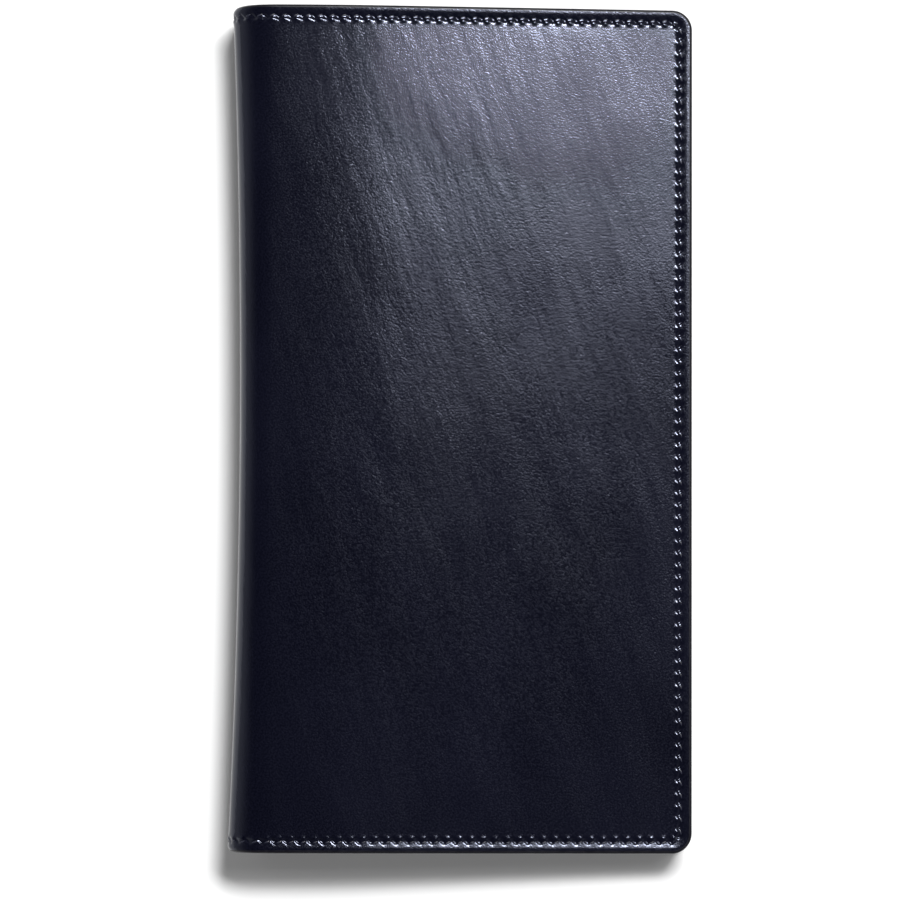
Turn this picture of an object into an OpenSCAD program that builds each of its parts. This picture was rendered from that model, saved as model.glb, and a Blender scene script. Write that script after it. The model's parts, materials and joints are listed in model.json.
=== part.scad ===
// Long wallet: a folded leather cover, card slots in the front half, and a zipped coin
// pocket and full-length note pockets in the two halves. It is drawn closed, lying on its
// back cover, with +X from the spine to the free edge and +Y along the spine.

/* [Wallet] */
// Closed length along the spine
wallet_l = 177; // [170:1:190]
// Closed width from the spine to the free edge
wallet_w = 95; // [95:1:100]
// Closed thickness at the spine
spine_t = 20; // [20:0.5:23]
// Slope of the closed front half towards the free edge, in degrees
front_tilt = 5.5; // [4.5:0.25:5.75]
// Outer radius of the two folds beside the spine
spine_r = 7; // [6.5:0.25:7.5]
// Radius of the corners at the free edge
corner_r = 4.2; // [3:0.2:6]

/* [Leather] */
// Thickness of the outer cover
cover_t = 1.6; // [1.4:0.1:1.8]
// Thickness of the lining
lining_t = 0.5; // [0.4:0.1:0.6]
// Thickness of the note pocket panels
panel_t = 0.8; // [0.7:0.1:0.9]
// Thickness of the coin pocket's front panel
coin_panel_t = 1; // [0.8:0.1:1.2]
// Thickness of the coin pocket's back panel and gusset
coin_lining_t = 0.4; // [0.3:0.1:0.5]
// Thickness of one card slot leaf
leaf_t = 0.5; // [0.4:0.05:0.55]

/* [Card slots] */
// Number of slots: each one is a node of its own
card_slots = 6; // [6]
// Distance from one slot's mouth to the next
slot_pitch = 14; // [13:0.5:15]
// Mouth of the first slot, from the wallet's middle
first_mouth_y = 60; // [55:1:65]
// Depth of a slot, a little more than a bank card's 54 mm
slot_depth = 56; // [55:0.5:58]

/* [Coin pocket] */
// Slope of the pocket's front panel, in degrees: it sets the pocket's depth at the spine
coin_tilt = 3; // [2.8:0.1:3.2]
// Zip's centre line
zip_x = -33; // [-33:0.5:-28]
// Width of the window that the zip shows through
window_w = 9; // [8.6:0.1:10]
// Lower and upper end of the window
window_y = [-70, 78];
// Distance from one zip tooth to the next on the same side
tooth_pitch = 2; // [2:0.1:2.4]

/* [Stitching] */
// Distance of the seam from the edge
seam_inset = 2.3; // [2:0.1:2.8]
// Distance from one stitch to the next
stitch_pitch = 2.5; // [2.3:0.1:3.2]
// Angle of a stitch to its seam, in degrees
stitch_slant = 14; // [0:1:16]

/* [Hidden] */

half_l = wallet_l / 2;
free_x = wallet_w / 2;

// The two folds: their centres, and the angle where each one is split between two bodies.
// Fold angles run from 0 at the bottom through 90 at the spine to 180 at the top.
fold_x = spine_r - free_x;
low_fold = [fold_x, spine_r];
top_fold = [fold_x, spine_t - spine_r];
fold_gap = 0.15;
gap_angle = fold_gap / spine_r * 180 / PI;
low_split = 45;
top_share = (90 + front_tilt) / 2;
fold_steps = 9;
corner_steps = 8;

// Front half, drawn level and then tilted about its fold
front_x = fold_x + (free_x - fold_x - spine_r * sin(front_tilt)) / cos(front_tilt);

// Heights of the layers, counted inwards from the outer face of either cover
lining_at = cover_t;
note_gap = 0.3;
panel_at = cover_t + lining_t + note_gap;
stack_at = panel_at + panel_t;
panel_x = 5.7 - free_x;

// Card slot leaves, laid like shingles
leaf_gap = 0.08;
leaf_x = panel_x + 0.8;
leaf_slope = (leaf_t + leaf_gap) / slot_pitch;
leaf_rise = slot_depth * leaf_slope;

// Coin pocket
pocket_inset = 4.7;
pocket_half_l = half_l - pocket_inset;
coin_z = stack_at + coin_lining_t;
coin_w = (free_x - panel_x) / cos(coin_tilt);
gusset_t = 0.7;
gusset_end_x = 36;
window_r = 1.5;
zip_at = (zip_x - free_x) / cos(coin_tilt);

// Zip, in the frame of the coin pocket's front panel
tape_t = 0.5;
tape_w = 5.8;
tape_overlap = 5;
tape_play = 0.02;
tape_edge = 1.2;
chain_half_w = 2;
tooth_reach = 0.7;
tooth_l = 0.85;
tooth_t = 2.2;
tooth_z = -tape_t / 2 - tooth_t / 2;
chain_y = [window_y[0] + 4, window_y[1] - 2];
tooth_count = floor((chain_y[1] - chain_y[0]) / tooth_pitch);
stop_l = 1.4;

// Slider at the closed end of the zip
slider_y = chain_y[1] - 5.5;
slider_l = 8.5;
slider_w = 7.4;
plate_t = 0.65;
plate_gap = 0.1;
plate_top_z = tooth_z + tooth_t + plate_gap;
plate_low_z = tooth_z - plate_gap - plate_t;
flange_t = 0.8;
flange_h = 0.6;
crown_z = plate_top_z + plate_t;
bail_w = 1.2;
bail_l = 5.2;
bail_post = 1;
bail_h = 1.5;
bail_bar_t = 0.6;

// Pull, lying along the zip
pull_bar_r = 0.4;
pull_z = crown_z + pull_bar_r + 0.05;
link_w = 4.4;
link_arm_w = 0.7;
link_l = 6;
tab_w = 7;
tab_t = 1.3;
tab_l = 17;
tab_start = 4.7;
rivet_r = 0.9;
rivet_head_r = 1.6;
rivet_head_t = 0.3;
rivet_at = 9;

// Stitches lie in a shallow groove on the outer faces, and on the surface inside
groove_d = 0.3;
groove_w = 1.3;
stitch_w = 0.6;
stitch_l = stitch_pitch - 0.6;
stitch_h = 0.25;
seam_y = half_l - seam_inset;
window_seam = 1.6;

navy = [0.07, 0.08, 0.13];
lining_navy = [0.10, 0.11, 0.18];
thread_navy = [0.05, 0.06, 0.12];
brass = [0.72, 0.58, 0.30];

// Points on a fold of radius r about c, from angle a to angle b
function fold_arc(c, r, a, b) = [
    for (i = [0:fold_steps])
        let (t = a + (b - a) * i / fold_steps) [c[0] - r * sin(t), c[1] - r * cos(t)]
];

// Cross-sections, in X and Z, of a sheet from depth d0 to depth d1 under the outer face
function back_section(d0, d1) = concat(
    [[free_x, d0]],
    fold_arc(low_fold, spine_r - d0, 0, low_split - gap_angle),
    fold_arc(low_fold, spine_r - d1, low_split - gap_angle, 0),
    [[free_x, d1]]
);

function spine_section(d0, d1) = concat(
    fold_arc(low_fold, spine_r - d0, low_split + gap_angle, 90),
    fold_arc(top_fold, spine_r - d0, 90, 90 + top_share - gap_angle),
    fold_arc(top_fold, spine_r - d1, 90 + top_share - gap_angle, 90),
    fold_arc(low_fold, spine_r - d1, 90, low_split + gap_angle)
);

function front_section(d0, d1) = concat(
    [[front_x, spine_t - d0]],
    fold_arc(top_fold, spine_r - d0, 180, 180 - top_share + gap_angle),
    fold_arc(top_fold, spine_r - d1, 180 - top_share + gap_angle, 180),
    [[front_x, spine_t - d1]]
);

// Outline from above, from x0 to x1, with its two corners at x1 rounded
function outline(x0, x1, half, r) = concat(
    [[x0, -half]],
    [for (i = [0:corner_steps], a = i * 90 / corner_steps) [x1 - r + r * sin(a), r - half - r * cos(a)]],
    [for (i = [0:corner_steps], a = i * 90 / corner_steps) [x1 - r + r * cos(a), half - r + r * sin(a)]],
    [[x0, half]]
);

// Evenly spaced places for stitches between a and b
function places(a, b) =
    let (n = max(1, round((b - a) / stitch_pitch)))
    [for (i = [0:n - 1]) a + (b - a) * (i + 0.5) / n];

module along_y(length) {
    rotate([90, 0, 0]) linear_extrude(length, center = true) children();
}

module along_x(x0, x1) {
    translate([x0, 0, 0]) rotate([90, 0, 90]) linear_extrude(x1 - x0) children();
}

module on_front() {
    translate([top_fold[0], 0, top_fold[1]])
        rotate([0, front_tilt, 0])
            translate([-top_fold[0], 0, -top_fold[1]])
                children();
}

module on_coin_panel() {
    translate([free_x, 0, coin_z]) rotate([0, coin_tilt, 0]) children();
}

module on_slider() {
    on_coin_panel() translate([zip_at, slider_y, 0]) children();
}

// Wallet's outline as a tall block, which gives a sheet its round corners
module outline_block(x1, inset) {
    translate([0, 0, -spine_t])
        linear_extrude(3 * spine_t)
            polygon(outline(-2 * free_x, x1 - inset, half_l - inset, corner_r - inset));
}

// Path of the seam around the three free sides, as a tall wall
module seam_track(x1) {
    difference() {
        outline_block(x1, seam_inset - groove_w / 2);
        outline_block(x1, seam_inset + groove_w / 2);
    }
}

// Sheet with a cross-section, cut to the wallet's outline
module sheet(section, x1) {
    intersection() {
        along_y(wallet_l) polygon(section);
        outline_block(x1, 0);
    }
}

// Outer sheet with the groove that its stitches lie in
module grooved_sheet(section, groove_section, x1) {
    difference() {
        sheet(section, x1);
        intersection() {
            along_y(wallet_l) polygon(groove_section);
            seam_track(x1);
        }
    }
}

// One stitch, lying along X on the plane z = 0
module stitch(slant = stitch_slant) {
    rotate([0, 0, -slant])
        translate([-stitch_l / 2, -stitch_w / 2, 0])
            cube([stitch_l, stitch_w, stitch_h]);
}

// Stitches on the flat of a cover, around its three free sides, on the plane z = 0
module flat_seam(x1) {
    corner_x = x1 - corner_r;
    corner_y = half_l - corner_r;
    bend = (corner_r - seam_inset) * cos(45);
    for (side = [-1, 1]) {
        for (x = places(fold_x, corner_x - 0.3)) translate([x, side * seam_y, 0]) stitch();
        translate([corner_x + bend, side * (corner_y + bend), 0])
            rotate([0, 0, -45 * side]) stitch(slant = 0);
    }
    for (y = places(0.3 - corner_y, corner_y - 0.3))
        translate([x1 - seam_inset, y, 0]) rotate([0, 0, 90]) stitch();
}

// Stitches round a fold, one at each angle, at both ends of the wallet
module fold_seam(c, angles) {
    for (side = [-1, 1])
        for (a = angles)
            translate([c[0], side * seam_y, c[1]])
                rotate([0, 90 + a, 0])
                    translate([spine_r - groove_d, 0, 0])
                        rotate([0, 90, 0])
                            stitch();
}

module back_cover() {
    color(navy) grooved_sheet(back_section(0, cover_t), back_section(-1, groove_d), free_x);
}

module back_lining() {
    color(lining_navy) sheet(back_section(lining_at, lining_at + lining_t), free_x);
}

module back_note_panel() {
    color(navy)
        translate([0, 0, panel_at])
            linear_extrude(panel_t)
                polygon(outline(panel_x, free_x, half_l, corner_r));
}

module back_seam_thread() {
    color(thread_navy) {
        translate([0, 0, groove_d]) rotate([180, 0, 0]) flat_seam(free_x);
        fold_seam(low_fold, [12, 32]);
    }
}

module coin_back_panel() {
    color(lining_navy)
        translate([panel_x, -pocket_half_l, stack_at])
            cube([free_x - panel_x, 2 * pocket_half_l, coin_lining_t]);
}

// Side wall of the pocket along its top, spine and bottom, under the sloping front panel
module coin_gusset() {
    color(lining_navy)
        difference() {
            translate([panel_x, -pocket_half_l, coin_z])
                cube([gusset_end_x - panel_x, 2 * pocket_half_l, spine_t / 2]);
            translate([panel_x + gusset_t, gusset_t - pocket_half_l, coin_z - 1])
                cube([wallet_w, 2 * (pocket_half_l - gusset_t), spine_t]);
            on_coin_panel()
                translate([-2 * wallet_w, -wallet_l, -0.02])
                    cube([3 * wallet_w, 2 * wallet_l, spine_t]);
        }
}

module window_shape() {
    w = window_w / 2;
    rotate([0, 0, 90])
        polygon(concat(
            [for (p = outline(0, window_y[1], w, window_r)) p],
            [for (p = outline(0, -window_y[0], w, window_r)) [-p[0], -p[1]]]
        ));
}

module coin_front_panel() {
    color(navy)
        on_coin_panel()
            linear_extrude(coin_panel_t)
                difference() {
                    translate([-coin_w, -pocket_half_l]) square([coin_w, 2 * pocket_half_l]);
                    translate([zip_at, 0]) window_shape();
                }
}

// Stitches round the zip's window
module coin_seam_thread() {
    side_x = window_w / 2 + window_seam;
    end_y = [window_y[0] - window_seam, window_y[1] + window_seam];
    color(thread_navy)
        on_coin_panel()
            translate([0, 0, coin_panel_t]) {
                for (side = [-1, 1])
                    for (y = places(end_y[0] + 1, end_y[1] - 1))
                        translate([zip_at + side * side_x, y, 0]) rotate([0, 0, 90]) stitch();
                for (y = end_y)
                    for (x = places(1 - side_x, side_x - 1))
                        translate([zip_at + x, y, 0]) stitch();
            }
}

// Space that one tape takes up, with some play all round
module tape_space(side, play = 0) {
    y0 = window_y[0] - tape_overlap;
    y1 = min(window_y[1] + tape_overlap, pocket_half_l - gusset_t - 0.1);
    x0 = side > 0 ? tape_edge : -tape_edge - tape_w;
    translate([zip_at + x0 - play, y0 - play, -tape_t - 0.02 - play])
        cube([tape_w + 2 * play, y1 - y0 + 2 * play, tape_t + 2 * play]);
}

module zip_tape(side) {
    color(lining_navy) on_coin_panel() tape_space(side);
}

// Teeth of one side: they clamp the tape's edge and reach past the zip's centre line
module zip_teeth(side) {
    color(brass)
        on_coin_panel()
            difference() {
                for (i = [0:tooth_count - 1])
                    translate([
                        zip_at + (side > 0 ? -tooth_reach : -chain_half_w),
                        chain_y[0] + (i + (side > 0 ? 0.5 : 0)) * tooth_pitch,
                        tooth_z
                    ])
                        cube([chain_half_w + tooth_reach, tooth_l, tooth_t]);
                tape_space(side, tape_play);
            }
}

// A bottom stop clamped across both tapes, and a top stop on each tape
module zip_stops() {
    color(brass)
        on_coin_panel()
            difference() {
                union() {
                    translate([zip_at - chain_half_w, chain_y[0] - stop_l - 0.3, tooth_z])
                        cube([2 * chain_half_w, stop_l, tooth_t]);
                    for (side = [-1, 1])
                        translate([zip_at + side * chain_half_w / 2 - 0.8, chain_y[1] + 0.3, tooth_z])
                            cube([1.6, stop_l, tooth_t]);
                }
                tape_space(-1, tape_play);
                tape_space(1, tape_play);
            }
}

// Slider's two plates with their side flanges, above and below the teeth
module zip_slider() {
    color(brass)
        on_slider()
            for (top = [true, false])
                translate([-slider_w / 2, -slider_l / 2, top ? plate_top_z : plate_low_z]) {
                    cube([slider_w, slider_l, plate_t]);
                    for (x = [0, slider_w - flange_t])
                        translate([x, 0, top ? -flange_h : 0])
                            cube([flange_t, slider_l, plate_t + flange_h]);
                }
}

module slider_bail() {
    color(brass)
        on_slider()
            translate([-bail_w / 2, -bail_l / 2, crown_z])
                difference() {
                    cube([bail_w, bail_l, bail_h]);
                    translate([-1, bail_post, -1])
                        cube([bail_w + 2, bail_l - 2 * bail_post, bail_h - bail_bar_t + 1]);
                }
}

// Metal link: a round bar under the bail, two arms and an end bar inside the leather tab
module pull_link() {
    color(brass)
        on_slider()
            translate([0, 0, pull_z]) {
                translate([-link_w / 2, 0, 0])
                    rotate([0, 90, 0]) cylinder(r = pull_bar_r, h = link_w, $fn = 32);
                for (x = [-link_w / 2, link_w / 2 - link_arm_w])
                    translate([x, -link_l, -pull_bar_r]) cube([link_arm_w, link_l, 2 * pull_bar_r]);
                translate([-link_w / 2, -link_l - link_arm_w, -pull_bar_r])
                    cube([link_w, link_arm_w, 2 * pull_bar_r]);
            }
}

// Leather tab, folded round the link's end bar and riveted
module pull_tab() {
    slot_half = pull_bar_r + 0.02;
    slot_end = link_l + link_arm_w + 0.05;
    color(navy)
        on_slider()
            translate([0, 0, pull_z])
                difference() {
                    translate([-tab_w / 2, -tab_start - tab_l, -tab_t / 2]) cube([tab_w, tab_l, tab_t]);
                    translate([-link_w / 2 - 0.05, -slot_end, -slot_half])
                        cube([link_w + 0.1, slot_end, 2 * slot_half]);
                    translate([0, -rivet_at, -tab_t]) cylinder(r = rivet_r + 0.02, h = 2 * tab_t, $fn = 32);
                }
}

module pull_rivet() {
    color(brass)
        on_slider()
            translate([0, -rivet_at, pull_z]) {
                cylinder(r = rivet_r, h = tab_t + 0.1, center = true, $fn = 32);
                for (z = [tab_t / 2, -tab_t / 2 - rivet_head_t])
                    translate([0, 0, z]) cylinder(r = rivet_head_r, h = rivet_head_t, $fn = 32);
            }
}

module spine_cover() {
    color(navy) grooved_sheet(spine_section(0, cover_t), spine_section(-1, groove_d), free_x);
}

module spine_lining() {
    color(lining_navy) sheet(spine_section(lining_at, lining_at + lining_t), free_x);
}

module spine_seam_thread() {
    color(thread_navy) {
        fold_seam(low_fold, [59, 79]);
        fold_seam(top_fold, [90 + 11, 90 + 33]);
        for (side = [-1, 1])
            for (z = places(low_fold[1] + 0.2, top_fold[1] - 0.2))
                translate([groove_d - free_x, side * seam_y, z]) rotate([0, -90, 0]) stitch();
    }
}

module front_cover() {
    color(navy) on_front() grooved_sheet(front_section(0, cover_t), front_section(-1, groove_d), front_x);
}

module front_lining() {
    color(lining_navy) on_front() sheet(front_section(lining_at, lining_at + lining_t), front_x);
}

module front_note_panel() {
    color(navy)
        on_front()
            translate([0, 0, spine_t - stack_at])
                linear_extrude(panel_t)
                    polygon(outline(panel_x, front_x, half_l, corner_r));
}

module front_seam_thread() {
    color(thread_navy)
        on_front() {
            translate([0, 0, spine_t - groove_d]) flat_seam(front_x);
            fold_seam(top_fold, [180 - 32, 180 - 12]);
        }
}

// Card slot leaf: it slopes up from its tail to its mouth, and the last one runs on, flat,
// into the seam at the wallet's bottom edge
module card_slot(i) {
    mouth = first_mouth_y - i * slot_pitch;
    tail = mouth - slot_depth;
    end = i == card_slots - 1 ? -half_l : tail;
    top = spine_t - stack_at - 0.02;
    color(navy)
        on_front()
            intersection() {
                along_x(leaf_x, front_x)
                    polygon(concat(
                        [[end, top - leaf_t], [end, top]],
                        end < tail ? [[tail, top]] : [],
                        [[mouth, top - leaf_rise], [mouth, top - leaf_rise - leaf_t]],
                        end < tail ? [[tail, top - leaf_t]] : []
                    ));
                outline_block(front_x, 0);
            }
}

// Stitches that hold the leaves along the spine, on the strip of each leaf that shows
module card_seam_thread() {
    top = spine_t - stack_at - 0.02 - leaf_t;
    color(thread_navy)
        on_front()
            for (i = [0:card_slots - 1]) {
                mouth = first_mouth_y - i * slot_pitch;
                tail = mouth - slot_depth;
                last = i == card_slots - 1;
                for (y = places((last ? tail : mouth - slot_pitch) + 0.6, mouth - 0.6))
                    translate([leaf_x + 1.4, y, top - (y - tail) * leaf_slope])
                        rotate([180 - atan(leaf_slope), 0, 0])
                            rotate([0, 0, 90])
                                stitch();
            }
}

back_cover();
back_lining();
back_note_panel();
back_seam_thread();
coin_back_panel();
coin_gusset();
coin_front_panel();
coin_seam_thread();
zip_tape(-1);  // zip_tape_left
zip_tape(1);  // zip_tape_right
zip_teeth(-1);  // zip_teeth_left
zip_teeth(1);  // zip_teeth_right
zip_stops();
zip_slider();
slider_bail();
pull_link();
pull_tab();
pull_rivet();
spine_cover();
spine_lining();
spine_seam_thread();
front_cover();
front_lining();
front_note_panel();
front_seam_thread();
card_slot(0);  // card_slot_1
card_slot(1);  // card_slot_2
card_slot(2);  // card_slot_3
card_slot(3);  // card_slot_4
card_slot(4);  // card_slot_5
card_slot(5);  // card_slot_6
card_seam_thread();
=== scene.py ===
"""The long wallet's looks: leather, lining, stitching, card slots, coin pocket and zip.

Shapes are worked out in millimetres in the frame's own axes and scaled to metres when a mesh is made.
"""

import json
import math

import bmesh
import bpy
import numpy as np
from mathutils import Matrix, Vector, noise


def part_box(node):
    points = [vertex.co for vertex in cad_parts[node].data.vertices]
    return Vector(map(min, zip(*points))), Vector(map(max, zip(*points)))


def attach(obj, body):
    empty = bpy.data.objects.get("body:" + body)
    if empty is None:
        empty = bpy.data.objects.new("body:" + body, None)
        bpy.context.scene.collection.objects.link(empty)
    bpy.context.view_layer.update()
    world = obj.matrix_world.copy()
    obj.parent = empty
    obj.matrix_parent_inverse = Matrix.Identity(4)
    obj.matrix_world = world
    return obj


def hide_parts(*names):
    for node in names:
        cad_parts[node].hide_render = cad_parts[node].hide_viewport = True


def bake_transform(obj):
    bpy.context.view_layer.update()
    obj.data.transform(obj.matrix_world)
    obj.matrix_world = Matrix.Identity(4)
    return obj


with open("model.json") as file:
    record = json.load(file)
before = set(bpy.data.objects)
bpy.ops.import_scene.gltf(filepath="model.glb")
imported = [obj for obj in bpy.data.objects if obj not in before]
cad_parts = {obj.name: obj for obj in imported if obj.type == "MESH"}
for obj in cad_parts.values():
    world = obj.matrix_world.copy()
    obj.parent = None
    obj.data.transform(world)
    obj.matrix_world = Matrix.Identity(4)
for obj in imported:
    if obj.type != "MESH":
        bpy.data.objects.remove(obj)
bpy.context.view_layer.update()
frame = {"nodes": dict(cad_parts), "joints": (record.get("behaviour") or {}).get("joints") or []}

MM = 0.001
BOX = {name: tuple(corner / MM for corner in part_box(name)) for name in frame["nodes"]}
JOINTS = {joint["name"]: joint for joint in frame["joints"]}

# ---------------------------------------------------------------- sizes from the frame

HALF_L = BOX["back_cover"][1].y
FREE_X = BOX["back_cover"][1].x
SPINE_FOLD = Vector(JOINTS["spine_fold"]["pos_m"]) / MM
COVER_FOLD = Vector(JOINTS["cover_fold"]["pos_m"]) / MM
PULL_AXIS = Vector(JOINTS["pull_swing"]["pos_m"]) / MM
TILT = math.radians(JOINTS["cover_fold"]["range_deg"][1] - 90)
FOLD_R = SPINE_FOLD.z / (1 - math.cos(math.pi / 4))
FOLD_X = SPINE_FOLD.x + FOLD_R * math.sin(math.pi / 4)
TOP_SPLIT = math.pi / 2 + (math.pi / 2 + TILT) / 2
LOW_CENTRE_Z = FOLD_R
TOP_CENTRE_Z = COVER_FOLD.z + FOLD_R * math.cos(TOP_SPLIT)
SPINE_T = TOP_CENTRE_Z + FOLD_R
MID_Z = (LOW_CENTRE_Z + TOP_CENTRE_Z) / 2
FRONT_X = FOLD_X + (FREE_X - FOLD_X - FOLD_R * math.sin(TILT)) / math.cos(TILT)
PANEL_X = BOX["back_note_panel"][0].x
COVER_T = BOX["back_lining"][0].z
PANEL_Z = (BOX["back_note_panel"][0].z, BOX["back_note_panel"][1].z)
STACK_Z = BOX["coin_back_panel"][0].z
COIN_Z = BOX["coin_back_panel"][1].z
POCKET_HALF_L = BOX["coin_front_panel"][1].y

# Sizes that the frame's boxes don't give
LINING_T = 0.5
CORNER_R = 4.2
COIN_TILT = math.radians(3)  # slope of the coin pocket's front panel
COIN_PANEL_T = 1.0
LEAF_X = PANEL_X + 0.8  # where the card leaves start
LEAF_DEPTH = STACK_Z + 0.02  # depth of the lowest leaf's underside
LEAF_T = 0.5
LEAF_RISE = 0.0414  # how much a leaf rises in each millimetre from its tail to its mouth
SLOT_PITCH = 14.0
SLOT_DEPTH = 56.0
SEAM_INSET = 2.3
SEAM_PITCH = 2.5
THREAD_R = 0.29
STITCH_DIP = 0.42  # how far a stitch's ends lie below its middle
JOIN_W = 0.03  # width of the narrow faces that keep the shading even up to a sheet's straight end


# ---------------------------------------------------------------- mesh helpers

def smooth(t):
    """An even step from 0 to 1 as t goes from 0 to 1."""
    t = np.clip(t, 0, 1)
    return t * t * (3 - 2 * t)


def make_mesh(name, points, faces, materials, indices=None, grain=None, flat=False):
    """A piece from points in millimetres. grain is the material's own coordinate for each point."""
    points = np.asarray(points, float).reshape(-1, 3)
    mesh = bpy.data.meshes.new(name)
    mesh.from_pydata((points * MM).tolist(), [], [list(map(int, f)) for f in faces])
    if indices is not None:
        mesh.polygons.foreach_set("material_index", np.asarray(indices, np.int32))
    grain = points if grain is None else grain
    held = mesh.attributes.new("grain", "FLOAT_VECTOR", "POINT")
    held.data.foreach_set("vector", np.asarray(grain, np.float32).ravel())
    bm = bmesh.new()
    bm.from_mesh(mesh)
    bmesh.ops.recalc_face_normals(bm, faces=bm.faces)
    bm.to_mesh(mesh)
    bm.free()
    for polygon in mesh.polygons:
        polygon.use_smooth = not flat
    for material in materials:
        mesh.materials.append(material)
    obj = bpy.data.objects.new(name, mesh)
    bpy.context.scene.collection.objects.link(obj)
    return obj


def weld(obj):
    """Joins points that lie together, such as those at a pole."""
    bm = bmesh.new()
    bm.from_mesh(obj.data)
    bmesh.ops.remove_doubles(bm, verts=bm.verts, dist=0.0005 * MM)
    bmesh.ops.recalc_face_normals(bm, faces=bm.faces)
    bm.to_mesh(obj.data)
    bm.free()


def bevel(obj, width):
    """Rounds the sharp edges of a piece and applies it."""
    modifier = obj.modifiers.new("edges", "BEVEL")
    modifier.width = width * MM
    modifier.segments = 2
    modifier.limit_method = "ANGLE"
    modifier.angle_limit = math.radians(35)
    graph = bpy.context.evaluated_depsgraph_get()
    graph.update()
    mesh = bpy.data.meshes.new_from_object(obj.evaluated_get(graph))
    obj.modifiers.clear()
    obj.data = mesh


def band_faces(a, b, count, closed=True):
    """Quads between two rows of count points that start at points a and b; closed joins their ends."""
    quads = [(a + j, a + (j + 1) % count, b + (j + 1) % count, b + j) for j in range(count)]
    return quads if closed else quads[:-1]


def grid_faces(rows, columns, start=0, closed=False):
    """Quads of a grid of rows by columns points; closed joins the last column to the first."""
    faces = []
    for a in range(start, start + (rows - 1) * columns, columns):
        faces += band_faces(a, a + columns, columns, closed)
    return faces


def bar_faces(rows, columns, start):
    """Faces of a bar made of closed rings of points, with a cap at each end."""
    last = start + (rows - 1) * columns
    caps = [tuple(range(start, start + columns))[::-1], tuple(range(last, last + columns))]
    return grid_faces(rows, columns, start=start, closed=True) + caps


def waves(points, size, seed):
    """Smooth noise from -1 to 1 at each point, with features of about size millimetres."""
    size = np.broadcast_to(np.asarray(size, float), (3,))
    moved = Vector((seed, 0, 0))
    return np.array([noise.noise(Vector(p / size) + moved) for p in points])


# ---------------------------------------------------------------- the two halves

BOW = 2.0  # how far the spine is drawn in at the middle of its length
FLARE = 1.7  # how far it swells out at its ends
SPINE_R = 1.8  # radius of the spine's corners, seen from above
ROUND_L, ROUND_H = 26.0, 1.35  # how far in from the spine the front rounds over, and by how much
CROWN_H = 0.35  # how far the middle of the front cover swells


class Half:
    """One half of the wallet, from the middle of the spine to the free edge.

    s runs along the outer surface from the middle of the spine, x is measured on the flat, before
    the front half's tilt, and depth is counted inwards from the cover's outer surface.
    """

    def __init__(self, front):
        self.front = front
        self.word = "front" if front else "back"
        self.body = f"{self.word}_half"
        self.way = 1 if front else -1
        self.centre_z = TOP_CENTRE_Z if front else LOW_CENTRE_Z
        self.turn = math.pi / 2 + TILT if front else math.pi / 2
        self.spine_l = abs(self.centre_z - MID_Z)
        self.flat_s = self.spine_l + FOLD_R * self.turn
        self.x1 = FRONT_X if front else FREE_X
        self.s1 = self.flat_s + self.x1 - FOLD_X

    def bent(self, s, y, depth):
        """Points on the sheet that follows the folds."""
        s, y, depth = np.broadcast_arrays(*map(np.asarray, (s, y, depth)))
        angle = math.pi / 2 + self.way * np.clip((s - self.spine_l) / FOLD_R, 0, self.turn)
        straight = np.minimum(s, self.spine_l) - self.spine_l
        flat = np.maximum(s - self.flat_s, 0)
        ahead_x, ahead_z = -np.cos(angle) * self.way, np.sin(angle) * self.way
        out_x, out_z = -np.sin(angle), -np.cos(angle)
        x = FOLD_X + out_x * FOLD_R + ahead_x * (straight + flat) - out_x * depth
        z = self.centre_z + out_z * FOLD_R + ahead_z * (straight + flat) - out_z * depth
        on_spine = smooth((self.flat_s - s) / (FOLD_R * self.turn))
        x = x + on_spine * (BOW * (1 - (y / HALF_L) ** 2) - FLARE)
        corner = np.clip((np.abs(y) - HALF_L + SPINE_R) / SPINE_R, 0, 1)
        x = x + on_spine * SPINE_R * (1 - np.sqrt(1 - corner ** 2))
        return np.stack([x, y, z - self.rounding(s - self.flat_s)], -1)

    def rounding(self, x):
        """How far the front half rounds down towards the spine, by the distance x past its fold."""
        if not self.front:
            return np.zeros_like(x, float)
        arc = FOLD_R * self.turn
        steep = -2 * arc / ROUND_L
        t = np.clip(1 + x / arc, 0, 1)
        on_arc = (3 - steep) * t ** 2 + (steep - 2) * t ** 3
        on_flat = np.clip(1 - x / ROUND_L, 0, 1) ** 2
        return ROUND_H * np.where(x < 0, on_arc, on_flat)

    def level(self, x, y, depth):
        """Points on the flat part, which runs on straight past the fold."""
        x, y, depth = np.broadcast_arrays(*map(np.asarray, (x, y, depth)))
        if not self.front:
            return np.stack([x, y, depth], -1).astype(float)
        dx = x - FOLD_X
        dz = SPINE_T - depth - TOP_CENTRE_Z - self.rounding(dx)
        cos, sin = math.cos(TILT), math.sin(TILT)
        return np.stack([FOLD_X + dx * cos + dz * sin, y, TOP_CENTRE_Z - dx * sin + dz * cos], -1)

    def blend(self, obj):
        """Bakes obj's placement into its mesh. The points where it would bend with the spine are worked out
        but not used, so obj doesn't bend.
        """
        on_spine = (FOLD_X - FOLD_R, 0, self.centre_z)
        flat = self.level(FOLD_X, 0, 0).tolist()
        ends = [[v * MM for v in p] for p in (on_spine, flat)]
        if self.front:
            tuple(ends[0])
            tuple(ends[1])
            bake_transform(obj)
        else:
            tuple(ends[1])
            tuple(ends[0])
            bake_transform(obj)


FRONT, BACK = Half(True), Half(False)


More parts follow.
